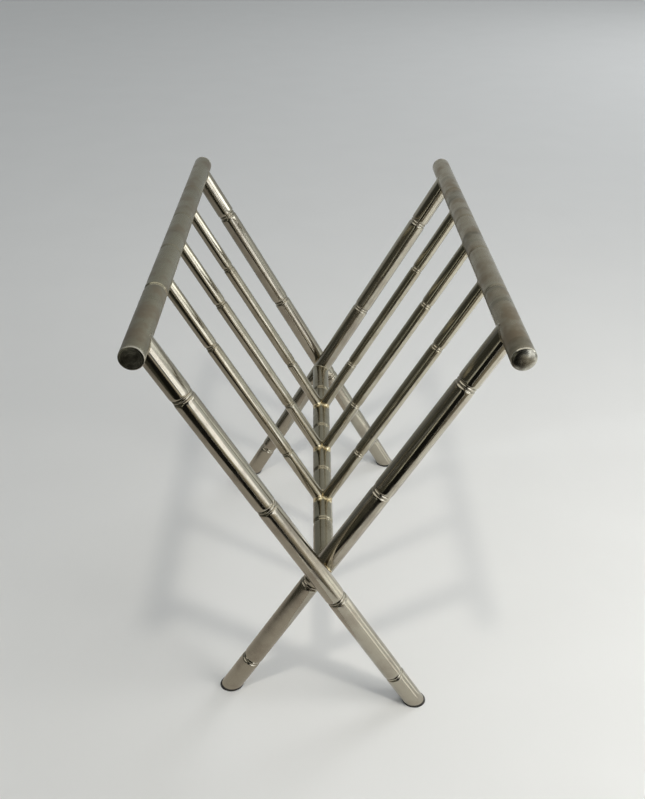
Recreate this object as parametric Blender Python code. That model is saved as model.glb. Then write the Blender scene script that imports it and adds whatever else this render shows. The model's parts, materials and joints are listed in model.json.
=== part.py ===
"""Brochure rack: two top rails on crossed legs, with a slatted V-shaped trough between them.

Metres, +Z up. X runs across the rack, Y along its rails, and the floor is z = 0.
Every tube is turned about its own local Z, which runs along the tube.
"""

import math

import bmesh
import bpy
from mathutils import Matrix, Vector

MM = 0.001

# Overall sizes
RAIL_SPACING = 288.0 * MM
RAIL_LENGTH = 468.0 * MM
RAIL_HEIGHT = 427.0 * MM
FOOT_SPREAD = 192.0 * MM
OUTER_LEG_SETBACK = 30.0 * MM

# Tube sizes
TUBE_RADIUS = 10.0 * MM
TUBE_WALL = 1.8 * MM
SLAT_RADIUS = 6.25 * MM
SLAT_WALL = 1.4 * MM
SLAT_PITCH = 88.5 * MM

# Clearances: one for pieces that touch, one for plugs inside a bore
JOINT_GAP = 0.3 * MM
PLUG_GAP = 0.3 * MM

# Bamboo rings, as (offset along the tube, depth) in shares of RING_LENGTH and of the ring's depth
RING_PROFILE = ((-1.0, 0.0), (-0.25, 1.0), (0.0, 0.4), (0.25, 1.0), (1.0, 0.0))
RING_LENGTH = 5.5 * MM
RING_DEPTH = 1.1 * MM
SLAT_RING_LENGTH = 4.0 * MM
SLAT_RING_DEPTH = 0.75 * MM
RAIL_RING_PITCH = 83.0 * MM
LEG_RINGS = (59.0 * MM, 189.0 * MM, 317.5 * MM, 441.0 * MM)
SLAT_RINGS = (80.0 * MM, 219.0 * MM)

# End caps, rubber feet and braze
CAP_THICKNESS = 2.0 * MM
CAP_DOME = 0.4 * MM
CAP_EDGE = 0.5 * MM
PLUG_LENGTH = 8.0 * MM
FOOT_HEIGHT = 2.4 * MM
BRAZE_REACH = 5.0 * MM
BRAZE_BORE = 2.8 * MM

TUBE_SEGMENTS = 24
SLAT_SEGMENTS = 18
CUTTER_SEGMENTS = 32

# Positions that follow from the sizes above
RAIL_X = RAIL_SPACING / 2
FOOT_X = FOOT_SPREAD / 2
OUTER_Y = RAIL_LENGTH / 2 - OUTER_LEG_SETBACK
INNER_Y = OUTER_Y - 2 * TUBE_RADIUS - JOINT_GAP
LEG_RUN = RAIL_X + FOOT_X
LEG_LENGTH = math.hypot(LEG_RUN, RAIL_HEIGHT)
LEG_COS = RAIL_HEIGHT / LEG_LENGTH
LEG_SIN = LEG_RUN / LEG_LENGTH
SPINE_Z = RAIL_HEIGHT * FOOT_X / LEG_RUN
SLAT_LENGTH = math.hypot(RAIL_X, RAIL_HEIGHT - SPINE_Z)
RAIL_TUBE_END = RAIL_LENGTH / 2 - CAP_THICKNESS - CAP_DOME - JOINT_GAP

AXIS_X = Vector((1, 0, 0))
AXIS_Y = Vector((0, 1, 0))
AXIS_Z = Vector((0, 0, 1))


def clear_scene():
    for obj in list(bpy.data.objects):
        bpy.data.objects.remove(obj, do_unlink=True)


def material(name, colour, metallic, roughness):
    made = bpy.data.materials.new(name)
    made.use_nodes = True
    shader = made.node_tree.nodes["Principled BSDF"]
    shader.inputs["Base Color"].default_value = (*colour, 1)
    shader.inputs["Metallic"].default_value = metallic
    shader.inputs["Roughness"].default_value = roughness
    made.diffuse_color = (*colour, 1)
    return made


def add_object(name, bm, finish=None):
    """Turns a bmesh into an object with smooth faces and sharp edges where it folds."""
    bmesh.ops.recalc_face_normals(bm, faces=bm.faces)
    for face in bm.faces:
        face.smooth = True
    for edge in bm.edges:
        edge.smooth = len(edge.link_faces) != 2 or edge.calc_face_angle() < math.radians(50)
    mesh = bpy.data.meshes.new(name)
    bm.to_mesh(mesh)
    bm.free()
    obj = bpy.data.objects.new(name, mesh)
    bpy.context.scene.collection.objects.link(obj)
    if finish:
        mesh.materials.append(finish)
    return obj


def lathe(profile, segments, closed=False):
    """Spins (radius, height) points about local Z. A closed profile makes a ring-shaped body."""
    bm = bmesh.new()
    verts = [bm.verts.new((radius, 0, height)) for radius, height in profile]
    edges = [bm.edges.new(pair) for pair in zip(verts, verts[1:])]
    if closed:
        edges.append(bm.edges.new((verts[-1], verts[0])))
    bmesh.ops.spin(
        bm,
        geom=verts + edges,
        cent=(0, 0, 0),
        axis=AXIS_Z,
        angle=math.tau,
        steps=segments,
        use_merge=True,
    )
    bmesh.ops.remove_doubles(bm, verts=bm.verts, dist=1e-6)
    return bm


def place(obj, start, direction):
    """Puts local Z along the direction, with local X level: across the rack, or along its rails."""
    along = direction.normalized()
    side = AXIS_X if abs(along.y) > 0.9 else AXIS_Y
    across = (side - along * side.dot(along)).normalized()
    turn = Matrix((across, along.cross(across), along)).transposed()
    obj.matrix_world = Matrix.Translation(start) @ turn.to_4x4()


def cut(obj, cutter):
    boolean = obj.modifiers.new("cut by " + cutter.name, "BOOLEAN")
    boolean.operation = "DIFFERENCE"
    boolean.solver = "EXACT"
    boolean.object = cutter


def as_cutter(obj):
    obj.hide_render = True
    obj.display_type = "WIRE"
    return obj


def rod_cutter(name, start, end, radius):
    """A solid rod that reaches past both ends, for coping the tubes that meet this one."""
    reach = 0.1 * (end - start).length
    length = (end - start).length + 2 * reach
    bm = lathe([(0, 0), (radius, 0), (radius, length), (0, length)], CUTTER_SEGMENTS)
    obj = add_object(name, bm)
    place(obj, start - (end - start).normalized() * reach, end - start)
    return as_cutter(obj)


def box_cutter(name, low, high):
    bm = bmesh.new()
    size = high - low
    bmesh.ops.create_cube(
        bm, size=1, matrix=Matrix.Translation((low + high) / 2) @ Matrix.Diagonal((*size, 1))
    )
    return as_cutter(add_object(name, bm))


def tube(name, start, end, radius, wall, rings, ring_length, ring_depth, segments, finish):
    """A tube with its rolled rings at the given distances from its start."""
    length = (end - start).length
    outer = [(radius, 0)]
    for ring in rings:
        for offset, depth in RING_PROFILE:
            outer.append((radius - depth * ring_depth, ring + offset * ring_length))
    outer.append((radius, length))
    bore = radius - wall
    bm = lathe(outer + [(bore, length), (bore, 0)], segments, closed=True)
    obj = add_object(name, bm, finish)
    place(obj, start, end - start)
    return obj


def main_tube(name, start, end, rings, finish):
    return tube(
        name,
        start,
        end,
        TUBE_RADIUS,
        TUBE_WALL,
        rings,
        RING_LENGTH,
        RING_DEPTH,
        TUBE_SEGMENTS,
        finish,
    )


def slat_tube(name, start, end, rings, finish):
    return tube(
        name,
        start,
        end,
        SLAT_RADIUS,
        SLAT_WALL,
        rings,
        SLAT_RING_LENGTH,
        SLAT_RING_DEPTH,
        SLAT_SEGMENTS,
        finish,
    )


def end_cap(name, x, outward, finish):
    """A domed disc on the end of a rail, with a plug that sits inside the tube."""
    plug = TUBE_RADIUS - TUBE_WALL - PLUG_GAP
    profile = [
        (0, -PLUG_LENGTH),
        (plug - CAP_EDGE, -PLUG_LENGTH),
        (plug, CAP_EDGE - PLUG_LENGTH),
        (plug, 0),
        (TUBE_RADIUS, 0),
        (TUBE_RADIUS, CAP_THICKNESS - CAP_EDGE),
        (TUBE_RADIUS - CAP_EDGE, CAP_THICKNESS),
        (0.6 * TUBE_RADIUS, CAP_THICKNESS + 0.7 * CAP_DOME),
        (0, CAP_THICKNESS + CAP_DOME),
    ]
    obj = add_object(name, lathe(profile, TUBE_SEGMENTS), finish)
    flange = RAIL_LENGTH / 2 - CAP_THICKNESS - CAP_DOME
    place(obj, Vector((x, outward * flange, RAIL_HEIGHT)), AXIS_Y * outward)
    return obj


def foot(name, x, y, lean, finish):
    """A rubber tip: level underneath and level where the tube stands on it, plugged along the leg."""
    plug = TUBE_RADIUS - TUBE_WALL - PLUG_GAP
    profile = [
        (0, 0),
        (TUBE_RADIUS, 0),
        (TUBE_RADIUS, FOOT_HEIGHT),
        (plug, FOOT_HEIGHT),
        (plug, FOOT_HEIGHT + PLUG_LENGTH),
        (0, FOOT_HEIGHT + PLUG_LENGTH),
    ]
    bm = lathe(profile, TUBE_SEGMENTS)
    for vert in bm.verts:
        vert.co.x = vert.co.x / LEG_COS + lean * vert.co.z * LEG_SIN / LEG_COS
    obj = add_object(name, bm, finish)
    obj.location = (x, y, 0)
    return obj


def braze(name, y, cutters, finish):
    """Filler metal around the spot where two legs touch, bounded by equal gaps between them."""
    thick = 4 * TUBE_RADIUS / 5
    profile = [(BRAZE_REACH, -thick), (BRAZE_REACH, thick), (BRAZE_BORE, thick), (BRAZE_BORE, -thick)]
    bm = lathe(profile, TUBE_SEGMENTS, closed=True)
    bmesh.ops.scale(bm, vec=(1 / LEG_COS, 1 / LEG_SIN, 1), verts=bm.verts)
    obj = add_object(name, bm, finish)
    place(obj, Vector((0, y, SPINE_Z)), -AXIS_Y)
    for cutter in cutters:
        cut(obj, cutter)
    return obj


clear_scene()

RAIL_METAL = material("rail_metal", (0.27, 0.26, 0.22), 1.0, 0.38)
LEG_METAL = material("leg_metal", (0.60, 0.57, 0.49), 1.0, 0.14)
SLAT_METAL = material("slat_metal", (0.58, 0.54, 0.45), 1.0, 0.16)
CAP_METAL = material("cap_metal", (0.16, 0.16, 0.15), 1.0, 0.32)
BRAZE_METAL = material("braze_metal", (0.62, 0.43, 0.20), 1.0, 0.30)
RUBBER = material("rubber", (0.02, 0.02, 0.02), 0.0, 0.75)

# Axis ends of the legs: the outer pair hangs from the left rail, the inner pair from the right
LEGS = {
    "front_outer": (-RAIL_X, FOOT_X, -OUTER_Y),
    "front_inner": (RAIL_X, -FOOT_X, -INNER_Y),
    "rear_inner": (RAIL_X, -FOOT_X, INNER_Y),
    "rear_outer": (-RAIL_X, FOOT_X, OUTER_Y),
}
SIDES = {"left": -1, "right": 1}
STATIONS = {"front": -SLAT_PITCH, "middle": 0.0, "rear": SLAT_PITCH}

# Cutters stand for the tubes that the others are coped to, with the joint gap added
rail_cutters = {}
for side, sign in SIDES.items():
    rail_cutters[side] = rod_cutter(
        "cutter_rail_" + side,
        Vector((sign * RAIL_X, -RAIL_LENGTH / 2, RAIL_HEIGHT)),
        Vector((sign * RAIL_X, RAIL_LENGTH / 2, RAIL_HEIGHT)),
        TUBE_RADIUS + JOINT_GAP,
    )
leg_cutters = {}
for which, (top_x, foot_x, y) in LEGS.items():
    leg_cutters[which] = rod_cutter(
        "cutter_leg_" + which,
        Vector((top_x, y, RAIL_HEIGHT)),
        Vector((foot_x, y, 0)),
        TUBE_RADIUS + JOINT_GAP,
    )
spine_cutter = rod_cutter(
    "cutter_spine",
    Vector((0, -INNER_Y, SPINE_Z)),
    Vector((0, INNER_Y, SPINE_Z)),
    TUBE_RADIUS + JOINT_GAP,
)
floor_cutter = box_cutter(
    "cutter_floor",
    Vector((-RAIL_SPACING, -RAIL_LENGTH, -RAIL_HEIGHT / 2)),
    Vector((RAIL_SPACING, RAIL_LENGTH, FOOT_HEIGHT + JOINT_GAP)),
)
mitre_cutters = {}
for side, sign in SIDES.items():
    inner = sign * JOINT_GAP / 2
    outer = -sign * RAIL_SPACING
    mitre_cutters[side] = box_cutter(
        "cutter_mitre_" + side,
        Vector((min(inner, outer), -RAIL_LENGTH, 0)),
        Vector((max(inner, outer), RAIL_LENGTH, RAIL_HEIGHT)),
    )

# Rails, each closed by two caps
rail_rings = [RAIL_TUBE_END + step * RAIL_RING_PITCH for step in (-1.5, -0.5, 0.5, 1.5)]
for side, sign in SIDES.items():
    main_tube(
        "rail_" + side,
        Vector((sign * RAIL_X, -RAIL_TUBE_END, RAIL_HEIGHT)),
        Vector((sign * RAIL_X, RAIL_TUBE_END, RAIL_HEIGHT)),
        rail_rings,
        RAIL_METAL,
    )
    end_cap("cap_" + side + "_front", sign * RAIL_X, -1, CAP_METAL)
    end_cap("cap_" + side + "_rear", sign * RAIL_X, 1, CAP_METAL)

# Legs, coped under their rail and cut level above their foot
for which, (top_x, foot_x, y) in LEGS.items():
    top = Vector((top_x, y, RAIL_HEIGHT))
    down = Vector((foot_x, y, 0)) - top
    below = top + down * (1 + 2 * TUBE_RADIUS / LEG_LENGTH)
    leg = main_tube("leg_" + which, top, below, LEG_RINGS, LEG_METAL)
    cut(leg, rail_cutters["left" if top_x < 0 else "right"])
    cut(leg, floor_cutter)
    foot("foot_" + which, foot_x, y, math.copysign(1, top_x), RUBBER)

# Filler metal where the outer and inner legs cross
for end, sign in (("front", -1), ("rear", 1)):
    pair = [leg_cutters[end + "_outer"], leg_cutters[end + "_inner"]]
    braze("braze_" + end, sign * (OUTER_Y + INNER_Y) / 2, pair, BRAZE_METAL)

# Spine, coped between the two inner legs
spine_rings = [INNER_Y + step * RAIL_RING_PITCH for step in (-1.5, -0.5, 0.5, 1.5)]
spine = main_tube(
    "spine",
    Vector((0, -INNER_Y, SPINE_Z)),
    Vector((0, INNER_Y, SPINE_Z)),
    spine_rings,
    LEG_METAL,
)
cut(spine, leg_cutters["front_inner"])
cut(spine, leg_cutters["rear_inner"])

# Slats, coped to their rail and to the spine, and mitred against the slat opposite
for side, sign in SIDES.items():
    for station, y in STATIONS.items():
        slat = slat_tube(
            "slat_" + side + "_" + station,
            Vector((sign * RAIL_X, y, RAIL_HEIGHT)),
            Vector((0, y, SPINE_Z)),
            SLAT_RINGS,
            SLAT_METAL,
        )
        cut(slat, rail_cutters[side])
        cut(slat, spine_cutter)
        cut(slat, mitre_cutters[side])
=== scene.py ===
"""Brochure rack in bamboo-ringed, nickel-plated tube: rails on crossed legs with a slatted V between them.

Metres, +Z up. X runs across the rack, Y along its rails, and the floor is z = 0.
"""

import json
import math

import bmesh
import bpy
import numpy as np
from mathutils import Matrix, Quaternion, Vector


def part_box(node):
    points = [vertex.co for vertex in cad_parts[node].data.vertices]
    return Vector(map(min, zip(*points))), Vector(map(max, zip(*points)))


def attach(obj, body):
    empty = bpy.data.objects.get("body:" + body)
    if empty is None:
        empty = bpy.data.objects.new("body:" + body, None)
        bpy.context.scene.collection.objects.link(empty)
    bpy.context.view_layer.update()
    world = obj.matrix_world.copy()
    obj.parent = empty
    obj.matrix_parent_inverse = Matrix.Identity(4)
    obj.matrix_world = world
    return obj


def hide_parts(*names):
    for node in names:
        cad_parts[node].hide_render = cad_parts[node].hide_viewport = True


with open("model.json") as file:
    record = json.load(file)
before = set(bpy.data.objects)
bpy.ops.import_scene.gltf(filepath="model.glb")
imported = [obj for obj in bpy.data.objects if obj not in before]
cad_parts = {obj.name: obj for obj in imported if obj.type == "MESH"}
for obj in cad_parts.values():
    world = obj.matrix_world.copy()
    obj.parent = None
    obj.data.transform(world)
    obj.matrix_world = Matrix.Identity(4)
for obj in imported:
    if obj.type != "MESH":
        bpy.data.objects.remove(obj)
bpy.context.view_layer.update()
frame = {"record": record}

# ---------------------------------------------------------------------------------------------
# Rails: two straight lengths of 20 mm steel tube, nickel plated, that carry the brochures' edges.
# Four bamboo rings are rolled into each before plating. Years of handling have dulled the plate
# to a satin olive grey with smudges, darker where the rings kept the polishing cloth out.
# ---------------------------------------------------------------------------------------------

MM = 0.001

rail_low, rail_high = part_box("rail_left")
TUBE_R = (rail_high.x - rail_low.x) / 2
RAIL_Z = (rail_low.z + rail_high.z) / 2
RAIL_END = rail_high.y
RAIL_X = {side: sum(corner.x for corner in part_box("rail_" + side)) / 2 for side in ("left", "right")}
TUBE_WALL = 1.8 * MM
RAIL_RING_PITCH = 83 * MM
RAIL_RINGS = RAIL_RING_PITCH * np.array([-1.5, -0.5, 0.5, 1.5])
RAIL_RING = {"left": {"reach": 6 * MM, "width": 0.8, "depths": (0.62, 0.3, 0.3, 0.3)},
             "right": {"reach": 6 * MM, "width": 0.8, "depths": (0.3, 0.3, 0.3, 0.3)}}
TUBE_AROUND = 72


def linear(hex_colour):
    """An sRGB hex colour as linear red, green, blue and alpha."""
    srgb = np.array([int(hex_colour[at : at + 2], 16) for at in (1, 3, 5)]) / 255
    low, high = srgb / 12.92, ((srgb + 0.055) / 1.055) ** 2.4
    return (*np.where(srgb <= 0.04045, low, high).tolist(), 1.0)


def node(tree, kind, settings, inputs):
    """Adds one shader node.

    Settings are its properties, and each input is a value or the socket that feeds it.
    """
    made = tree.nodes.new("ShaderNode" + kind)
    for name, value in settings.items():
        setattr(made, name, value)
    for name, value in inputs.items():
        if isinstance(value, bpy.types.NodeSocket):
            tree.links.new(value, made.inputs[name])
        else:
            made.inputs[name].default_value = value
    return made


def ring_depth(t, rings, ring):
    """How far the skin stands below the plain tube, by distance along it.

    Each rolled ring is a wide soft pinch, plus a narrow groove on each side of its middle, less a bead
    between the grooves, each a bell curve. The ring's width and depth stretch all of them.
    """
    sunk = 0 * t
    for at, depth in zip(rings, ring["depths"]):
        x = np.abs(t - at) / MM / ring["width"]
        pinch = 0.85 * np.exp(-((x / 2.5) ** 2))
        grooves = 0.75 * np.exp(-(((x - 1.65) / 0.6) ** 2))
        bead = 0.35 * np.exp(-((x / 0.8) ** 2))
        sunk = sunk + (pinch + grooves - bead) * MM * depth
    return sunk


def stations(first, last, rings, ring):
    """Distances along a tube: every 6 mm on plain lengths, and every 0.2 mm near a ring's grooves."""
    plain = np.linspace(first, last, max(int((last - first) / (6 * MM)), 2))
    fine = np.linspace(-1, 1, 45)
    dense = np.concatenate([at + ring["reach"] * fine * np.abs(fine) ** 0.4 for at in rings])
    far = np.abs(plain[:, None] - np.asarray(rings)[None]).min(1) > ring["reach"]
    along = np.concatenate([plain[far], dense, [first, last]])
    return np.unique(along[(along >= first) & (along <= last)].round(6))


def square_end(at):
    """An end sawn straight across."""
    return lambda offsets: np.full(len(offsets), at)


def coped_end(start, along, host, host_along, host_r, sign):
    """An end notched to a round host tube: where each line of the tube meets the host's cylinder.

    With everything taken square to the host's axis, that is the root of |offset + t * along| = host radius.
    """

    def end(offsets):
        flat = np.eye(3) - np.outer(host_along, host_along)
        across = (np.asarray(start) - host + offsets) @ flat
        run = np.asarray(along) @ flat
        a, b = run @ run, across @ run
        c = (across**2).sum(1) - host_r**2
        return (-b + sign * np.sqrt(np.maximum(b * b - a * c, 0))) / a

    return end


def tube_grid(start, along, radius, wall, rings, ring, near, far, around, rounded=0.0):
    """A ringed tube as one closed sheet of points: out along the skin and back along the bore.

    A point is start + t * along + r * (cos a * side + sin a * up). The skin's r is the radius less the
    rings' depth at t, and the bore's is less by the wall. Rows near an end lean over to follow its cut.
    """
    start, along = np.asarray(start, float), np.asarray(along, float)
    side = np.cross(along, [0, 1, 0]) if abs(along[1]) < 0.9 else np.array([1.0, 0, 0])
    side /= np.linalg.norm(side)
    up = np.cross(along, side)
    angle = np.linspace(0, 2 * math.pi, around, endpoint=False)
    spoke = np.cos(angle)[:, None] * side + np.sin(angle)[:, None] * up
    low = near(spoke * radius), near(spoke * (radius - wall))
    high = far(spoke * radius), far(spoke * (radius - wall))
    first, last = max(map(np.max, low)) + 1.5 * MM, min(map(np.min, high)) - 1.5 * MM
    middle = stations(first, last, rings, ring)[:, None]
    lead = np.concatenate([np.linspace(0, 0.12, 5), np.linspace(0.2, 0.9, 5)])[:, None]
    sheets = []
    for layer, inset in ((0, 0.0), (1, wall)):
        begin = low[layer] + (first - low[layer]) * lead
        finish = high[layer] + (last - high[layer]) * lead[::-1]
        t = np.concatenate([begin, middle + 0 * angle, finish])
        sunk = ring_depth(t, rings, ring)
        edge = np.clip(1 - np.minimum(t - low[layer], high[layer] - t) / (rounded + 1e-9), 0, 1)
        # a ring is rolled a tenth deeper on one pair of sides, which differ from tube to tube
        uneven = 1 + 0.1 * np.cos(2 * angle + 40 * np.sum(start))
        r = radius - inset - sunk * uneven - rounded * (1 - layer) * (1 - np.sqrt(1 - edge**2))
        sheets.append((t, r, sunk))
    t, r, sunk = (np.concatenate([skin, bore[::-1]]) for skin, bore in zip(*sheets))
    points = start + t[..., None] * along + r[..., None] * spoke
    place = np.stack([r * np.cos(angle), r * np.sin(angle), t], -1)
    return {"points": points, "place": place, "groove": np.clip(sunk / (1.3 * MM), 0, 1)}


def add_piece(name, grids, finish, stands_for=(), ring_shaped=True):
    """Makes one object from grids of points that close around their columns.

    A ring-shaped grid also closes along its rows, and any other shrinks to a point at both ends.
    Each point keeps its place on its own tube, and how deep in a groove it lies.
    """
    points, place, groove, faces, count = [], [], [], [], 0
    for grid in grids:
        rows, columns = grid["points"].shape[:2]
        number = np.arange(rows * columns).reshape(rows, columns) + count
        if ring_shaped:
            number = np.concatenate([number, number[:1]])
        wrapped = np.concatenate([number, number[:, :1]], 1)
        corners = wrapped[:-1, :-1], wrapped[:-1, 1:], wrapped[1:, 1:], wrapped[1:, :-1]
        faces.append(np.stack(corners, -1).reshape(-1, 4))
        points.append(grid["points"].reshape(-1, 3))
        place.append(grid.get("place", grid["points"]).reshape(-1, 3))
        groove.append(grid.get("groove", np.zeros((rows, columns))).reshape(-1))
        count += rows * columns
    points, faces = np.concatenate(points), np.concatenate(faces)
    mesh = bpy.data.meshes.new(name)
    mesh.from_pydata(points, [], faces)
    place, groove = np.concatenate(place).ravel(), np.concatenate(groove)
    mesh.attributes.new("place", "FLOAT_VECTOR", "POINT").data.foreach_set("vector", place)
    mesh.attributes.new("groove", "FLOAT", "POINT").data.foreach_set("value", groove)
    shell = bmesh.new()
    shell.from_mesh(mesh)
    bmesh.ops.remove_doubles(shell, verts=shell.verts, dist=1e-6)
    bmesh.ops.recalc_face_normals(shell, faces=shell.faces)
    shell.to_mesh(mesh)
    shell.free()
    mesh.shade_smooth()
    mesh.set_sharp_from_angle(angle=math.radians(50))
    mesh.materials.append(finish)
    piece = bpy.data.objects.new(name, mesh)
    bpy.context.scene.collection.objects.link(piece)
    if stands_for:
        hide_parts(*stands_for)
    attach(piece, "root")
    return piece


def nickel_plate(name, clean, dull, stain, smooth, rough, line_mark, band_mark, wave, grime=0.0):
    """Nickel plate over drawn steel tube. Polishing lines run along it, and smudges cloud it.

    Nickel is a warm grey metal. Clean plate mirrors the room, handled plate blurs it, and plate that
    kept dirt in a groove goes brown. Sizes are in millimetres on the tube itself.
    """
    made = bpy.data.materials.new(name)
    made.use_nodes = True
    tree = made.node_tree
    shader = tree.nodes["Principled BSDF"]
    shader.inputs["Metallic"].default_value = 1.0
    place = node(tree, "Attribute", {"attribute_name": "place"}, {}).outputs["Vector"]
    groove = node(tree, "Attribute", {"attribute_name": "groove"}, {}).outputs["Fac"]
    lengthwise = node(tree, "Mapping", {}, {"Vector": place, "Scale": (1, 1, 0.03)}).outputs["Vector"]
    crosswise = node(tree, "Mapping", {}, {"Vector": place, "Scale": (0.12, 0.12, 1)}).outputs["Vector"]
    # smudges 25 mm across, polishing lines 0.7 mm apart (really 0.1 mm), bands 5 mm wide, specks 1.5 mm
    smudge = node(tree, "TexNoise", {}, {"Vector": place, "Scale": 1 / 0.025, "Detail": 5.0,
                                         "Roughness": 0.6}).outputs["Fac"]
    lines = node(tree, "TexNoise", {}, {"Vector": lengthwise, "Scale": 1 / 0.0014, "Detail": 3.0})
    bands = node(tree, "TexNoise", {}, {"Vector": crosswise, "Scale": 1 / 0.009, "Detail": 4.0})
    specks = node(tree, "TexNoise", {}, {"Vector": place, "Scale": 1 / 0.0022, "Detail": 2.0})
    clouded = node(tree, "MapRange", {"interpolation_type": "SMOOTHSTEP"},
                   {"Value": smudge, "From Min": 0.38, "From Max": 0.66}).outputs["Result"]
    banded = node(tree, "MapRange", {}, {"Value": bands.outputs["Fac"], "From Min": 0.35, "From Max": 0.7,
                                         "To Max": band_mark}).outputs["Result"]
    lined = node(tree, "MapRange", {}, {"Value": lines.outputs["Fac"], "From Min": 0.4, "From Max": 0.65,
                                        "To Max": line_mark}).outputs["Result"]
    specked = node(tree, "MapRange", {}, {"Value": specks.outputs["Fac"], "From Min": 0.68,
                                          "From Max": 0.78, "To Max": 0.5}).outputs["Result"]
    worn = node(tree, "Math", {"operation": "ADD", "use_clamp": True}, {0: banded, 1: lined}).outputs[0]
    worn = node(tree, "Math", {"operation": "ADD", "use_clamp": True}, {0: worn, 1: specked}).outputs[0]
    worn = node(tree, "Math", {"operation": "MAXIMUM"}, {0: worn, 1: clouded}).outputs[0]
    dirt = node(tree, "MapRange", {}, {"Value": groove, "From Min": 0.55, "To Max": 0.4}).outputs["Result"]
    # grime that a wiping cloth dragged round the tube in bands about 15 mm wide
    arcs = node(tree, "TexNoise", {}, {"Vector": crosswise, "Scale": 1 / 0.028, "Detail": 5.0,
                                       "Distortion": 0.6})
    dragged = node(tree, "MapRange", {}, {"Value": arcs.outputs["Fac"], "From Min": 0.52, "From Max": 0.7,
                                          "To Max": grime}).outputs["Result"]
    dirt = node(tree, "Math", {"operation": "MAXIMUM"}, {0: dirt, 1: dragged}).outputs[0]
    patchy = node(tree, "MapRange", {}, {"Value": smudge, "From Min": 0.3, "From Max": 0.6,
                                         "To Min": 0.55}).outputs["Result"]
    dirt = node(tree, "Math", {"operation": "MULTIPLY", "use_clamp": True}, {0: dirt, 1: patchy}).outputs[0]
    plate = node(tree, "Mix", {"data_type": "RGBA"},
                 {0: worn, 6: linear(clean), 7: linear(dull)}).outputs[2]
    plate = node(tree, "Mix", {"data_type": "RGBA"},
                 {0: dirt, 6: plate, 7: linear(stain)}).outputs[2]
    tree.links.new(plate, shader.inputs["Base Color"])
    blur = node(tree, "Math", {"operation": "MAXIMUM"}, {0: worn, 1: dirt}).outputs[0]
    blur = node(tree, "MapRange", {}, {"Value": blur, "To Min": smooth, "To Max": rough}).outputs["Result"]
    tree.links.new(blur, shader.inputs["Roughness"])
    # the tube is straight to 0.05 mm over 30 mm, which makes its long highlights waver
    swell = node(tree, "TexNoise", {}, {"Vector": place, "Scale": 1 / 0.03, "Detail": 1.0}).outputs["Fac"]
    relief = node(tree, "Bump", {}, {"Height": swell, "Distance": wave}).outputs["Normal"]
    relief = node(tree, "Bump", {"invert": True}, {"Height": lined, "Distance": 0.018 * MM,
                                                  "Normal": relief}).outputs["Normal"]
    tree.links.new(relief, shader.inputs["Normal"])
    return made


HANDLED_NICKEL = {
    "left": nickel_plate("handled satin nickel plate", "#9e9a87", "#8f8370", "#514e40", smooth=0.24,
                         rough=0.38, line_mark=0.2, band_mark=0.35, wave=0.05 * MM, grime=0.3),
    "right": nickel_plate("handled satin nickel plate, browned", "#9d9684", "#857762", "#484a3a", smooth=0.22,
                          rough=0.4, line_mark=0.2, band_mark=0.45, wave=0.05 * MM, grime=0.9),
}
for side, x in RAIL_X.items():
    skin = tube_grid((x, 0, RAIL_Z), (0, 1, 0), TUBE_R, TUBE_WALL, RAIL_RINGS, RAIL_RING[side],
                     square_end(-RAIL_END), square_end(RAIL_END), TUBE_AROUND, rounded=0.3 * MM)
    add_piece("rail_tube_" + side, [skin], HANDLED_NICKEL[side], ["rail_" + side])

# ---------------------------------------------------------------------------------------------
# Rail end caps: four steel discs turned on a lathe, each with a plug that is pressed into its rail.
# The faces keep the lathe's fine circles and have tarnished nearly black, with bright rubbed rims.
# ---------------------------------------------------------------------------------------------

CAP_SQUARENESS = {"left_front": 14, "left_rear": 14, "right_front": 2.1, "right_rear": 14}
CAP_SWELL = {"left_front": 0, "left_rear": 0, "right_front": 1.4 * MM, "right_rear": 0}
PLUG_R = TUBE_R - TUBE_WALL - 0.3 * MM


def arc(centre, radius, first, last, count):
    """Points on a quarter round in the (radius, height) plane, by angle in degrees."""
    angle = np.radians(np.linspace(first, last, count))
    return np.stack([centre[0] + radius * np.cos(angle), centre[1] + radius * np.sin(angle)], 1)


def turned_grid(profile, centre, outward, around):
    """A profile of (radius, height) points carried once around a line that runs outward from a centre."""
    outward = np.asarray(outward, float)
    side = np.array([1.0, 0, 0])
    up = np.cross(outward, side)
    angle = np.linspace(0, 2 * math.pi, around, endpoint=False)
    spoke = np.cos(angle)[:, None] * side + np.sin(angle)[:, None] * up
    r, height = profile[:, 0, None], profile[:, 1, None]
    points = np.asarray(centre) + height[..., None] * outward + r[..., None] * spoke
    place = np.stack([r * np.cos(angle), r * np.sin(angle), height + 0 * angle], -1)
    return {"points": points, "place": place}


cap_turned = bpy.data.materials.new("turned steel, tarnished dark")
cap_turned.use_nodes = True
tree = cap_turned.node_tree
shader = tree.nodes["Principled BSDF"]
shader.inputs["Metallic"].default_value = 1.0
# lathe circles 0.6 mm apart (really 0.1 mm) around the disc's middle, tarnish clouds 6 mm across
place = node(tree, "Attribute", {"attribute_name": "place"}, {}).outputs["Vector"]
flat = node(tree, "Mapping", {}, {"Vector": place, "Scale": (1, 1, 0)}).outputs["Vector"]
from_middle = node(tree, "VectorMath", {"operation": "LENGTH"}, {0: flat}).outputs["Value"]
circles = node(tree, "TexNoise", {"noise_dimensions": "1D"},
               {"W": from_middle, "Scale": 1 / 0.0006, "Detail": 3.0}).outputs["Fac"]
cloud = node(tree, "TexNoise", {}, {"Vector": place, "Scale": 1 / 0.006, "Detail": 4.0}).outputs["Fac"]
rim = node(tree, "MapRange", {}, {"Value": from_middle, "From Min": TUBE_R - 0.7 * MM,
                                  "From Max": TUBE_R - 0.25 * MM}).outputs["Result"]
mottle = node(tree, "MapRange", {}, {"Value": cloud, "From Min": 0.34, "From Max": 0.66}).outputs["Result"]
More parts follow.
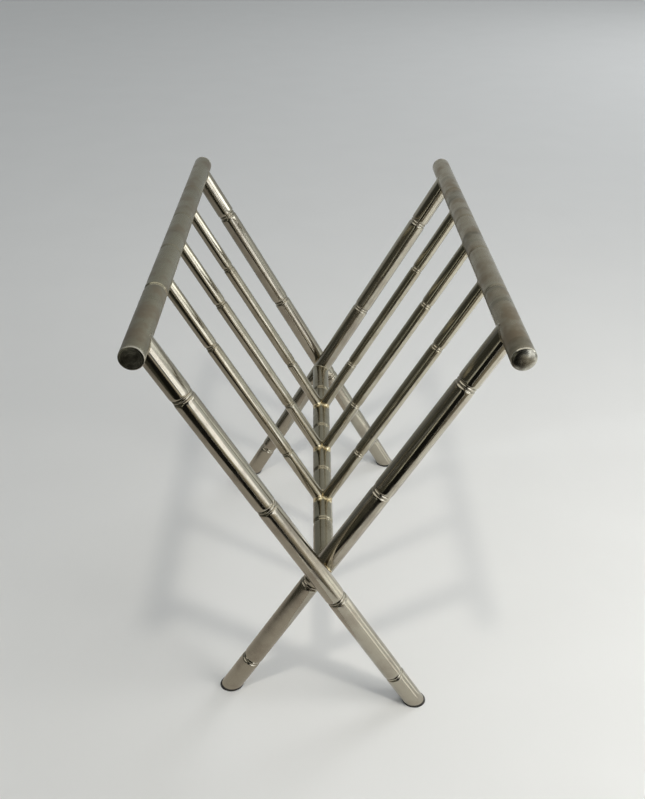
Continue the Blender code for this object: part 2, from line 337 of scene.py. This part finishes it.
dark = node(tree, "Mix", {"data_type": "RGBA"},
            {0: mottle, 6: linear("#534e44"), 7: linear("#a9a69a")}).outputs[2]
# the rim's edge is rubbed bright, in patches 9 mm long
chips = node(tree, "TexNoise", {}, {"Vector": place, "Scale": 1 / 0.009, "Detail": 5.0}).outputs["Fac"]
rubbed = node(tree, "MapRange", {}, {"Value": chips, "From Min": 0.4, "From Max": 0.56,
                                     "To Min": 0.35}).outputs["Result"]
rim = node(tree, "Math", {"operation": "MULTIPLY"}, {0: rim, 1: rubbed}).outputs[0]
worn = node(tree, "Mix", {"data_type": "RGBA"}, {0: rim, 6: dark, 7: linear("#d4cec0")}).outputs[2]
tree.links.new(worn, shader.inputs["Base Color"])
blur = node(tree, "MapRange", {}, {"Value": circles, "To Min": 0.16, "To Max": 0.34})
tree.links.new(blur.outputs["Result"], shader.inputs["Roughness"])
cuts = node(tree, "Bump", {}, {"Height": circles, "Distance": 0.03 * MM})
tree.links.new(cuts.outputs["Normal"], shader.inputs["Normal"])

for side in ("left", "right"):
    for end, outward in (("front", -1), ("rear", 1)):
        low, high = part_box(f"cap_{side}_{end}")
        crown = (high.y if outward > 0 else -low.y) - RAIL_END - 0.55 * MM + CAP_SWELL[f"{side}_{end}"]
        x, z = (low.x + high.x) / 2, (low.z + high.z) / 2
        seat = outward * (RAIL_END + 0.3 * MM)
        # the face is half a superellipse: (r / R) ** n + (height / crown) ** n = 1
        turn, n = np.radians(np.linspace(0, 90, 30)), CAP_SQUARENESS[f"{side}_{end}"]
        face = np.stack([TUBE_R * np.cos(turn) ** (2 / n), 0.25 * MM + crown * np.sin(turn) ** (2 / n)], 1)
        face[-1, 0] = 0
        profile = np.concatenate([
            [[0, -8 * MM], [PLUG_R - 0.5 * MM, -8 * MM], [PLUG_R, -7.5 * MM], [PLUG_R, 0]],
            arc((TUBE_R - 0.25 * MM, 0.25 * MM), 0.25 * MM, -90, 0, 5),
            face,
        ])
        disc = turned_grid(profile, (x, seat, z), (0, outward, 0), TUBE_AROUND)
        add_piece(f"end_disc_{side}_{end}", [disc], cap_turned, [f"cap_{side}_{end}"],
                  ring_shaped=False)

# ---------------------------------------------------------------------------------------------
# Legs: four lengths of the same tube with four rings each, polished bright and nickel plated.
# Each is notched under its rail and sawn level at the foot, and the outer one of a pair is brazed
# to the inner one where they cross. The two outer legs hang from the left rail.
# ---------------------------------------------------------------------------------------------

LEG_RINGS = np.array([59, 189, 317.5, 441]) * MM
TUBE_RING = {"reach": 7.5 * MM, "width": 1.0, "depths": (1, 1, 1, 1)}
FOOT_HEIGHT = 2.4 * MM
JOINT_GAP = 0.3 * MM
CROSSING_Z = sum(corner.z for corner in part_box("spine")) / 2

POLISHED_NICKEL = nickel_plate("polished nickel plate", "#afa99a", "#a0988a", "#635640", smooth=0.09,
                               rough=0.2, line_mark=0.22, band_mark=0.2, wave=0.04 * MM)


def level_end(start, along, height):
    """An end sawn level: each line of the tube stops at the same height."""
    return lambda offsets: (height - start[2] - offsets[:, 2]) / along[2]


feet = {mount["name"].removeprefix("floor_"): np.array(mount["pos_m"])
        for mount in frame["record"]["mounts"]}
leg_lines = {}
for which, foot in feet.items():
    rail_x = RAIL_X["left"] if foot[0] > 0 else RAIL_X["right"]
    top = np.array([rail_x, foot[1], RAIL_Z])
    along = (foot - top) / np.linalg.norm(foot - top)
    leg_lines[which] = top, along
    skin = tube_grid(top, along, TUBE_R, TUBE_WALL, LEG_RINGS, TUBE_RING,
                     coped_end(top, along, top, (0, 1, 0), TUBE_R + JOINT_GAP, 1),
                     level_end(top, along, FOOT_HEIGHT + JOINT_GAP), TUBE_AROUND)
    add_piece("leg_tube_" + which, [skin], POLISHED_NICKEL, ["leg_" + which])

# ---------------------------------------------------------------------------------------------
# Feet: four black rubber tips, moulded level underneath, with a plug that is pushed up each leg.
# A thin lip of rubber shows all round below the tube and keeps the metal off the floor.
# ---------------------------------------------------------------------------------------------

rubber = bpy.data.materials.new("moulded black rubber")
rubber.use_nodes = True
tree = rubber.node_tree
shader = tree.nodes["Principled BSDF"]
shader.inputs["IOR"].default_value = 1.52
shader.inputs["Specular IOR Level"].default_value = 0.35
# dust clouds 4 mm across and a moulded grain of 0.5 mm, which leaves it matt with a soft sheen
spot = node(tree, "TexCoord", {}, {}).outputs["Object"]
dust = node(tree, "TexNoise", {}, {"Vector": spot, "Scale": 1 / 0.004, "Detail": 4.0}).outputs["Fac"]
grain = node(tree, "TexNoise", {}, {"Vector": spot, "Scale": 1 / 0.0005, "Detail": 2.0}).outputs["Fac"]
black = node(tree, "Mix", {"data_type": "RGBA"},
             {0: dust, 6: linear("#1b1a19"), 7: linear("#3a3835")}).outputs[2]
tree.links.new(black, shader.inputs["Base Color"])
matt = node(tree, "MapRange", {}, {"Value": dust, "To Min": 0.55, "To Max": 0.85}).outputs["Result"]
tree.links.new(matt, shader.inputs["Roughness"])
skin_bump = node(tree, "Bump", {}, {"Height": grain, "Distance": 0.05 * MM}).outputs["Normal"]
tree.links.new(skin_bump, shader.inputs["Normal"])

for which, foot in feet.items():
    along = leg_lines[which][1]
    cosine, lean = -along[2], -along[0] / -along[2]
    bulge = 0.5 * MM
    profile = np.concatenate([
        [[0, 0], [TUBE_R - 0.8 * MM, 0]],
        arc((TUBE_R - 0.6 * MM + bulge, 0.6 * MM), 0.6 * MM, -90, 0, 6),
        arc((TUBE_R - 0.4 * MM + bulge, FOOT_HEIGHT - 0.4 * MM), 0.4 * MM, 0, 90, 5),
        [[PLUG_R, FOOT_HEIGHT], [PLUG_R, FOOT_HEIGHT + 7.4 * MM], [PLUG_R - 0.6 * MM, FOOT_HEIGHT + 8 * MM],
         [0, FOOT_HEIGHT + 8 * MM]],
    ])
    tip = turned_grid(profile, (0, 0, 0), (0, 0, 1), 64)
    # the tip's rounds are ellipses, because the tube is cut on a slant, and it leans with the leg
    x, y, z = np.moveaxis(tip["points"], -1, 0)
    tip["points"] = np.stack([foot[0] + x / cosine + z * lean, foot[1] + y, z], -1)
    add_piece("rubber_tip_" + which, [tip], rubber, ["foot_" + which], ring_shaped=False)

# ---------------------------------------------------------------------------------------------
# Spine: the tube along the bottom of the V, notched at both ends between the inner legs.
# It is the same plated tube with four rings, rubbed less bright than the legs and a little browned.
# ---------------------------------------------------------------------------------------------

spine_low, spine_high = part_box("spine")
SPINE_X = (spine_low.x + spine_high.x) / 2
SPINE_RINGS = RAIL_RINGS
SLAT_STATIONS = {where: sum(corner.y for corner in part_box("slat_left_" + where)) / 2
                 for where in ("front", "middle", "rear")}

spine_mid = np.array([SPINE_X, 0, CROSSING_Z])
ends = []
for which, sign in (("front_inner", -1), ("rear_inner", 1)):
    host, host_along = leg_lines[which]
    ends.append(coped_end(spine_mid, (0, 1, 0), host, host_along, TUBE_R + JOINT_GAP, -sign))
skin = tube_grid(spine_mid, (0, 1, 0), TUBE_R, TUBE_WALL, SPINE_RINGS, TUBE_RING, *ends, TUBE_AROUND)
RUBBED_NICKEL = nickel_plate("rubbed nickel plate", "#9d9785", "#8b8370", "#8d7348", smooth=0.17,
                             rough=0.28, line_mark=0.3, band_mark=0.25, wave=0.04 * MM)
add_piece("spine_tube", [skin], RUBBED_NICKEL, ["spine"])

# ---------------------------------------------------------------------------------------------
# Slats: three thinner tubes down each side of the V, 12.5 mm across with two rings each.
# Each is notched to its rail and to the spine, and mitred against the slat opposite. They are
# polished and plated like the legs, and a little more golden.
# ---------------------------------------------------------------------------------------------

slat_low, slat_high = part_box("slat_left_middle")
SLAT_R = (slat_high.y - slat_low.y) / 2
SLAT_WALL = 1.4 * MM
SLAT_RINGS = np.array([80, 219]) * MM
SLAT_RING = {"reach": 5.2 * MM, "width": 0.75, "depths": (0.8, 0.8)}
SLAT_AROUND = 56

SLAT_NICKEL = nickel_plate("polished nickel plate, warm", "#b2ac9c", "#9f9784", "#9c8352", smooth=0.075,
                           rough=0.19, line_mark=0.22, band_mark=0.2, wave=0.03 * MM)
slat_lines = {}
for side, sign in (("left", -1), ("right", 1)):
    for where, y in SLAT_STATIONS.items():
        top = np.array([RAIL_X[side], y, RAIL_Z])
        foot_point = np.array([SPINE_X, y, CROSSING_Z])
        length = np.linalg.norm(foot_point - top)
        along = (foot_point - top) / length
        slat_lines[side, where] = top, along, length
        notch = coped_end(top, along, foot_point, (0, 1, 0), TUBE_R + JOINT_GAP, -1)

        def far(offsets, notch=notch, top=top, along=along, sign=sign):
            """The nearer of the notch and the mitre, the upright plane halfway between the two slats."""
            mitre = (sign * JOINT_GAP / 2 + SPINE_X - top[0] - offsets[:, 0]) / along[0]
            return np.minimum(notch(offsets), mitre)

        skin = tube_grid(top, along, SLAT_R, SLAT_WALL, SLAT_RINGS, SLAT_RING,
                         coped_end(top, along, top, (0, 1, 0), TUBE_R + JOINT_GAP, 1), far, SLAT_AROUND)
        add_piece(f"slat_tube_{side}_{where}", [skin], SLAT_NICKEL, [f"slat_{side}_{where}"])

# ---------------------------------------------------------------------------------------------
# Braze: brass filler run around every joint after the tubes were clamped together, then plated
# over thinly, so that it shows golden. It draws into each corner as a small hollow fillet.
# ---------------------------------------------------------------------------------------------

FILLET = 2.8 * MM
SMALL_FILLET = 1.1 * MM

brass = bpy.data.materials.new("brass brazing filler")
brass.use_nodes = True
tree = brass.node_tree
shader = tree.nodes["Principled BSDF"]
shader.inputs["Metallic"].default_value = 1.0
# the filler froze in ripples 1.2 mm apart, with flux burnt brown in patches of 3 mm
spot = node(tree, "TexCoord", {}, {}).outputs["Object"]
burnt = node(tree, "TexNoise", {}, {"Vector": spot, "Scale": 1 / 0.003, "Detail": 4.0}).outputs["Fac"]
ripple = node(tree, "TexNoise", {}, {"Vector": spot, "Scale": 1 / 0.0012, "Detail": 2.0}).outputs["Fac"]
burnt = node(tree, "MapRange", {}, {"Value": burnt, "From Min": 0.42, "From Max": 0.66}).outputs["Result"]
gold = node(tree, "Mix", {"data_type": "RGBA"},
            {0: burnt, 6: linear("#e9dcb8"), 7: linear("#93794c")}).outputs[2]
tree.links.new(gold, shader.inputs["Base Color"])
blur = node(tree, "MapRange", {}, {"Value": burnt, "To Min": 0.2, "To Max": 0.45}).outputs["Result"]
tree.links.new(blur, shader.inputs["Roughness"])
lumpy = node(tree, "Bump", {}, {"Height": ripple, "Distance": 0.25 * MM}).outputs["Normal"]
tree.links.new(lumpy, shader.inputs["Normal"])

# round the rails the plating lies thicker over the filler and hides its gold
plated_filler = brass.copy()
plated_filler.name = "plated brazing filler"
for mixed in plated_filler.node_tree.nodes:
    if mixed.type == "MIX":
        mixed.inputs[6].default_value = linear("#b9b19c")
        mixed.inputs[7].default_value = linear("#6f6350")


def unit(vectors):
    """Each vector divided by its own length."""
    return vectors / np.linalg.norm(vectors, axis=-1, keepdims=True)


def fillet_grid(start, along, radius, end, host, host_along, host_r, size, back, around=64):
    """A hollow fillet swept round the line where a tube meets its host.

    At each angle the corner point lies on the tube's cut end. The fillet leaves the tube one size up from
    the corner, lands on the host one size out from it, and bows towards the corner as a parabola through
    both. A point under the corner, inside the metal, closes the ring.
    """
    start, along = np.asarray(start, float), np.asarray(along, float)
    host, host_along = np.asarray(host, float), np.asarray(host_along, float)
    side = np.cross(along, [0, 1, 0]) if abs(along[1]) < 0.9 else np.array([1.0, 0, 0])
    side /= np.linalg.norm(side)
    up = np.cross(along, side)
    angle = np.linspace(0, 2 * math.pi, around, endpoint=False)
    spoke = np.cos(angle)[:, None] * side + np.sin(angle)[:, None] * up
    corner = start + end(spoke * radius)[:, None] * along + radius * spoke
    # the filler's edge wanders by up to a quarter of its size
    wander = 0.15 * np.sin(3 * angle + 700 * np.sum(start)) + 0.1 * np.sin(7 * angle)
    uneven = size * (1 + wander)[:, None]
    flat = np.eye(3) - np.outer(host_along, host_along)
    outward = unit((corner - host) @ flat)
    away = unit(spoke - (spoke * outward).sum(1, keepdims=True) * outward)
    landing = corner + uneven * away
    axis_point = host + ((landing - host) @ host_along)[:, None] * host_along
    landing = axis_point + unit(landing - axis_point) * (host_r + 0.02 * MM)
    leaving = corner + uneven * back * along + 0.02 * MM * spoke
    t = np.linspace(0, 1, 8)[:, None, None]
    hollow = (1 - t) ** 2 * leaving + 2 * t * (1 - t) * (corner + 0.12 * uneven * spoke) + t**2 * landing
    buried = (corner - 0.6 * MM * spoke - 0.5 * MM * outward)[None]
    points = np.concatenate([hollow, buried])
    return {"points": points}


def crossing_grid(front, front_along, rear, rear_along, radius, reach, around=72):
    """Filler drawn into the gap between two tubes that cross and touch side by side.

    Round the touching point, at angle b in the plane of both tubes, the gap between them grows with the
    square of the distance. The filler ends where the gap is reach, and its face bows in between the skins.
    """
    b = np.linspace(0, 2 * math.pi, around, endpoint=False)
    middle = (front + rear) / 2
    gap = abs(front[1] - rear[1]) - 2 * radius
    direction = np.stack([np.cos(b), 0 * b, np.sin(b)], -1)
    bend = sum(np.linalg.norm(np.cross(direction, line), axis=1) ** 2
               for line in (front_along, rear_along))
    far = np.sqrt(2 * radius * (reach - gap) / np.maximum(bend, 0.2))
    far = far * (1 + 0.08 * np.sin(3 * b + 1) + 0.05 * np.sin(8 * b))
    spot = middle + far[:, None] * direction

    def skin_y(centre, line, at):
        """The y of a tube's skin beside a point, on the side that faces the other tube."""
        off = np.linalg.norm(np.cross((at - centre) * [1, 0, 1], line), axis=1)
        facing = np.sign(middle[1] - centre[1])
        return centre[1] + facing * np.sqrt(np.maximum(radius**2 - off**2, 0))

    y_front = skin_y(front, front_along, spot)
    y_rear = skin_y(rear, rear_along, spot)
    v = np.linspace(0, 1, 9)[:, None]
    bow = 1 - 0.3 * np.sin(math.pi * v)
    face = middle + (far * bow)[..., None] * direction
    face[..., 1] = y_front + (y_rear - y_front) * v
    inner = middle + 0.45 * far[None, :, None] * direction
    inner = np.concatenate([inner, inner])
    inner[..., 1] = np.stack([y_rear, y_front]) * 0.35 + middle[1] * 0.65
    return {"points": np.concatenate([face, inner])}


for end, sign in (("front", -1), ("rear", 1)):
    lines = [leg_lines[f"{end}_{layer}"] for layer in ("outer", "inner")]
    centres = [np.array([0, top[1], CROSSING_Z]) for top, along in lines]
    filler = crossing_grid(centres[0], lines[0][1], centres[1], lines[1][1], TUBE_R, 3.6 * MM)
    add_piece("braze_crossing_" + end, [filler], brass, ["braze_" + end])

slat_fillets, rail_fillets = [], []
for (side, where), (top, along, length) in slat_lines.items():
    foot_point = top + along * length
    notch = coped_end(top, along, foot_point, (0, 1, 0), TUBE_R, -1)
    slat_fillets.append(fillet_grid(top, along, SLAT_R, notch, foot_point, (0, 1, 0), TUBE_R, FILLET, -1))
    cope = coped_end(top, along, top, (0, 1, 0), TUBE_R, 1)
    rail_fillets.append(fillet_grid(top, along, SLAT_R, cope, top, (0, 1, 0), TUBE_R, SMALL_FILLET, 1))
# a fillet as wide as its host starts a hair inside the tube's skin, where the two skins would run together
SNUG_R = TUBE_R - 0.05 * MM
leg_fillets = []
for top, along in leg_lines.values():
    cope = coped_end(top, along, top, (0, 1, 0), TUBE_R, 1)
    leg_fillets.append(fillet_grid(top, along, SNUG_R, cope, top, (0, 1, 0), TUBE_R, SMALL_FILLET, 1))
spine_fillets = []
for which, sign in (("front_inner", -1), ("rear_inner", 1)):
    host, host_along = leg_lines[which]
    cope = coped_end(spine_mid, (0, 1, 0), host, host_along, TUBE_R, -sign)
    spine_fillets.append(fillet_grid(spine_mid, (0, 1, 0), SNUG_R, cope, host, host_along, TUBE_R,
                                     SMALL_FILLET, -sign))
add_piece("braze_slats_to_spine", slat_fillets, brass)
add_piece("braze_slats_to_rails", rail_fillets, plated_filler)
add_piece("braze_legs_to_rails", leg_fillets, plated_filler)
add_piece("braze_spine_to_legs", spine_fillets, plated_filler)

# ---------------------------------------------------------------------------------------------
# Floor: a plain pale table top in satin paint, far wider than the rack, so that its edge never
# shows. The paint is brushed out almost flat, which leaves only faint clouds in its colour.
# ---------------------------------------------------------------------------------------------

FLOOR_SIZE = 14.0

floor_mesh = bpy.data.meshes.new("floor")
corners = np.array([(-1, -1, 0), (1, -1, 0), (1, 1, 0), (-1, 1, 0)]) * FLOOR_SIZE / 2
floor_mesh.from_pydata(corners, [], [(0, 1, 2, 3)])
floor = bpy.data.objects.new("floor", floor_mesh)
bpy.context.scene.collection.objects.link(floor)
paint = bpy.data.materials.new("pale satin paint")
paint.use_nodes = True
tree = paint.node_tree
shader = tree.nodes["Principled BSDF"]
shader.inputs["Roughness"].default_value = 0.7
shader.inputs["Specular IOR Level"].default_value = 0.15
# the paint's clouds are 150 mm across
spot = node(tree, "TexCoord", {}, {}).outputs["Object"]
cloud = node(tree, "TexNoise", {}, {"Vector": spot, "Scale": 1 / 0.15, "Detail": 3.0}).outputs["Fac"]
pale = node(tree, "Mix", {"data_type": "RGBA"},
            {0: cloud, 6: linear("#e6e7e5"), 7: linear("#eaebe9")}).outputs[2]
tree.links.new(pale, shader.inputs["Base Color"])
floor_mesh.materials.append(paint)

# ---------------------------------------------------------------------------------------------
# Studio light: a soft even room and three lamps that the metal doesn't mirror, plus cards that only
# the metal mirrors. The cards stand for the room round the rack: dark in front and to the left, where
# the metal goes black, with tall windows at the right front, which give it its cream highlights.
# ---------------------------------------------------------------------------------------------

ROOM_LEVEL = 0.42
WINDOW_LEVEL = 2.4


def emitter(name, corners, colour, level, fade=None):
    """A flat card that shines evenly and that only mirror-like surfaces see.

    A fade is (from x, to x, share): the card's light falls evenly to that share of its level between them.
    """
    mesh = bpy.data.meshes.new(name)
    mesh.from_pydata(corners, [], [tuple(range(len(corners)))])
    glow = bpy.data.materials.new(name)
    glow.use_nodes = True
    tree = glow.node_tree
    tree.nodes.remove(tree.nodes["Principled BSDF"])
    light = node(tree, "Emission", {}, {"Color": linear(colour), "Strength": level})
    if fade:
        spot = node(tree, "TexCoord", {}, {}).outputs["Object"]
        across = node(tree, "SeparateXYZ", {}, {"Vector": spot}).outputs["X"]
        faded = node(tree, "MapRange", {}, {"Value": across, "From Min": fade[0], "From Max": fade[1],
                                            "To Min": level, "To Max": level * fade[2]}).outputs["Result"]
        tree.links.new(faded, light.inputs["Strength"])
    tree.links.new(light.outputs["Emission"], tree.nodes["Material Output"].inputs["Surface"])
    mesh.materials.append(glow)
    card = bpy.data.objects.new(name, mesh)
    bpy.context.scene.collection.objects.link(card)
    card.visible_camera = False
    card.visible_diffuse = False
    card.visible_shadow = False
    card.visible_transmission = False
    card.visible_volume_scatter = False
    return card


def upright(azimuth, width, distance, bottom, top):
    """Corners of a standing card that faces the rack. Azimuth is in degrees, right of straight ahead."""
    turn = math.radians(azimuth)
    centre = np.array([math.sin(turn), -math.cos(turn)]) * distance
    along = np.array([math.cos(turn), math.sin(turn)]) * width / 2
    left, right = centre - along, centre + along
    return [(*left, bottom), (*right, bottom), (*right, top), (*left, top)]


# panes of the windows, by azimuth, width and share of the window's level
PANES = ((31.5, 0.17, 1.05), (41.5, 0.2, 1.0), (52, 0.2, 1.05), (61.5, 0.14, 0.6), (69, 0.1, 0.4))
for azimuth, width, share in PANES:
    emitter(f"window_pane_{azimuth:.0f}", upright(azimuth, width, 1.25, 0.09, 1.1), "#f8fbff",
            WINDOW_LEVEL * share)
# gaps in a white shelf at the right, with a strip lamp over it
for azimuth, width, level in ((80, 0.05, 1.3), (88, 0.04, 1.0), (97, 0.08, 2.0), (108, 0.05, 1.4)):
    emitter(f"shelf_light_{azimuth}", upright(azimuth, width, 1.4, 0.0, 0.7), "#f0f6f4", level)
emitter("lamp_over_shelf", upright(86, 1.5, 1.4, 0.72, 0.94), "#f2f7fa", 3.9)
for azimuth, level in ((-34, 0.35), (-48, 0.25), (-66, 0.2), (-78, 0.3)):
    emitter(f"dim_shelf_{-azimuth}", upright(azimuth, 0.06, 1.3, 0.0, 0.5), "#d8d2bc", level)


def standing(y, left, right, top):
    """Corners of a card that stands on the floor square to the rails, at one y."""
    return [(left, y, 0), (right, y, 0), (right, y, top), (left, y, top)]


DRAPE_Y = -1.05
WALL_Y = 0.33
emitter("doorway", standing(DRAPE_Y, -0.53, -0.43, 0.9), "#dcdccb", 1.3)
emitter("black_drape", standing(DRAPE_Y, -0.36, 0.14, 1.5), "#1b1b18", 1.0)

# Beyond the table's bowed front edge and its left end the metal sees a dark room floor, and the
# end of the table away from the window is in shade. A pale wall stands close behind the table.
TABLE_EDGE = [(-0.6, -0.38), (-0.34, -0.5), (-0.12, -0.53), (0.2, -0.475), (0.32, -0.49), (0.46, -0.56),
              (0.9, -0.72)]
FAR_FRONT = -3


def laid(outline):
    """Corners of a card laid 1 mm above the floor."""
    return [(x, y, 1 * MM) for x, y in outline]


def beyond(part, out_left, out_right, front):
    """Corners of a card laid on the floor between part of the table's edge and a line in front of it."""
    return laid([*part, (out_right, front), (out_left, front)])


emitter("dark_under_drape", beyond(TABLE_EDGE[1:4], -0.34, 0.16, DRAPE_Y), "#1b1b18", 1.0)
# painted light: the brown room floor card glows four and a half times brighter towards the window at the
# right, from x 0.25 to 0.8
emitter("brown_floor_right", beyond(TABLE_EDGE[3:], 0.16, 0.9, FAR_FRONT), "#a39d8e", 0.5,
        fade=(0.25, 0.8, 4.5))
emitter("brown_floor_left", beyond(TABLE_EDGE[:2], -4, -0.34, FAR_FRONT), "#43433a", 1.0)
left_floor = laid([(-0.6, WALL_Y), (-4, WALL_Y), (-4, FAR_FRONT), (-0.6, -0.38)])
emitter("brown_floor_side", left_floor, "#43433a", 1.0)
shade = laid([(0, 0.32), (-0.6, 0.32), (-0.6, -0.38), (-0.34, -0.5), (-0.12, -0.54), (0, -0.515)])
emitter("shaded_table", shade, "#e8e3da", 0.66, fade=(0.0, -0.5, 0.55))
overhead = [(-1.6, -1.3, 1.9), (1.6, -1.3, 1.9), (1.6, 0.4, 1.9), (-1.6, 0.4, 1.9)]
emitter("ceiling", overhead, "#f4f3ec", 1.2)
# painted shade and light: the wall cards glow darker towards the left and brighter towards the window at the
# right
emitter("wall_left", standing(WALL_Y, -3, 0, 1.6), "#e4e8e6", 0.55, fade=(0.0, -0.8, 0.32))
emitter("wall_right", standing(WALL_Y, 0, 2, 1.6), "#e4e8e6", 0.58, fade=(0.0, 0.8, 1.7))


def sheen(foot, first, last, reach):
    """Corners of a narrow wedge laid on the table, from a foot outward between two azimuths."""
    turns = np.radians([first, first, last, last])
    out = np.array([0.03, reach, reach, 0.03])
    x, y = foot[0] + out * np.sin(turns), foot[1] - out * np.cos(turns)
    return [(*at, 0.002) for at in zip(x, y)]


# painted reflections: glowing wedges laid on the table stand for the soft streak of the window that its satin
# paint carries, and for one of the shelf beside it
for end in ("front", "rear"):
    emitter("window_sheen_" + end, sheen(feet[end + "_outer"], 61, 69, 1.0), "#f6f8f6", 1.85)
    emitter("shelf_sheen_" + end, sheen(feet[end + "_outer"], 97, 108, 1.0), "#eff4f4", 1.75)

world = bpy.data.worlds.new("studio room")
bpy.context.scene.world = world
world.use_nodes = True
tree = world.node_tree
plain = tree.nodes["Background"]
plain.inputs["Color"].default_value = linear("#eceff2")
plain.inputs["Strength"].default_value = ROOM_LEVEL
toward = node(tree, "TexCoord", {}, {}).outputs["Generated"]
turn = node(tree, "TexGradient", {"gradient_type": "RADIAL"}, {"Vector": toward}).outputs["Fac"]
ramp = node(tree, "ValToRGB", {}, {"Fac": turn})
# round the room from the left: front at 0.25, right at 0.5, back at 0.75, left again at 1
tones = [(0.0, "#3d3e37"), (0.3, "#292925"), (0.42, "#54544b"), (0.45, "#c8cfcc"), (0.66, "#e6ece9"),
         (0.75, "#bfc3bb"), (0.86, "#7b7d75"), (0.95, "#3d3e37")]
while len(ramp.color_ramp.elements) < len(tones):
    ramp.color_ramp.elements.new(0.5)
for element, (position, tone) in zip(ramp.color_ramp.elements, tones):
    element.position = position
    element.color = linear(tone)
mirrored = node(tree, "Background", {}, {"Color": ramp.outputs["Color"], "Strength": 1.15})
mirror_ray = node(tree, "LightPath", {}, {}).outputs["Is Glossy Ray"]
both = node(tree, "MixShader", {}, {0: mirror_ray, 1: plain.outputs[0], 2: mirrored.outputs[0]})
tree.links.new(both.outputs[0], tree.nodes["World Output"].inputs["Surface"])


def soft_box(name, place, aim, size, power, colour):
    """A large square lamp that lights the floor and the rack but doesn't show in the metal."""
    lamp = bpy.data.lights.new(name, "AREA")
    lamp.shape = "SQUARE"
    lamp.size = size
    lamp.energy = power
    lamp.color = linear(colour)[:3]
    box = bpy.data.objects.new(name, lamp)
    bpy.context.scene.collection.objects.link(box)
    box.location = place
    away = np.asarray(place, float) - aim
    flat = math.hypot(away[0], away[1])
    box.rotation_euler = (math.atan2(flat, away[2]), 0, math.atan2(away[0], -away[1]))
    box.visible_glossy = False
    return box


soft_box("window_light", (1.3, -0.6, 0.85), aim=(0, 0, 0), size=0.9, power=14.5, colour="#fdfaf5")
soft_box("back_window", (3.2, 2.8, 2.8), aim=(1.4, 2.0, 0), size=2.0, power=55, colour="#fbfcff")
soft_box("ceiling_lamp", (0, -0.63, 1.75), aim=(0, 0, 0), size=0.11, power=5.5, colour="#fdf8ee")

# ---------------------------------------------------------------------------------------------
# Camera: held a little above the rack and in front of it, looking down along the rails. It stands
# close, so the front of the rack looks much larger than the back.
# ---------------------------------------------------------------------------------------------

CAMERA_PLACE = (-12.9 * MM, -753.6 * MM, 727.7 * MM)
CAMERA_DOWN = 32.84
CAMERA_RIGHT = 0.98
CAMERA_ROLL = 0.72
CAMERA_LENS = 36.94

lens = bpy.data.cameras.new("camera")
lens.lens = CAMERA_LENS
lens.sensor_width = 36.0
camera = bpy.data.objects.new("camera", lens)
bpy.context.scene.collection.objects.link(camera)
camera.rotation_mode = "QUATERNION"
camera.location = CAMERA_PLACE
heading = Quaternion((0, 0, 1), math.radians(-CAMERA_RIGHT))
pitch = Quaternion((1, 0, 0), math.radians(90 - CAMERA_DOWN))
roll = Quaternion((0, 0, 1), math.radians(CAMERA_ROLL))
camera.rotation_quaternion = heading @ pitch @ roll
bpy.context.scene.camera = camera
bpy.context.scene.view_settings.view_transform = "Standard"
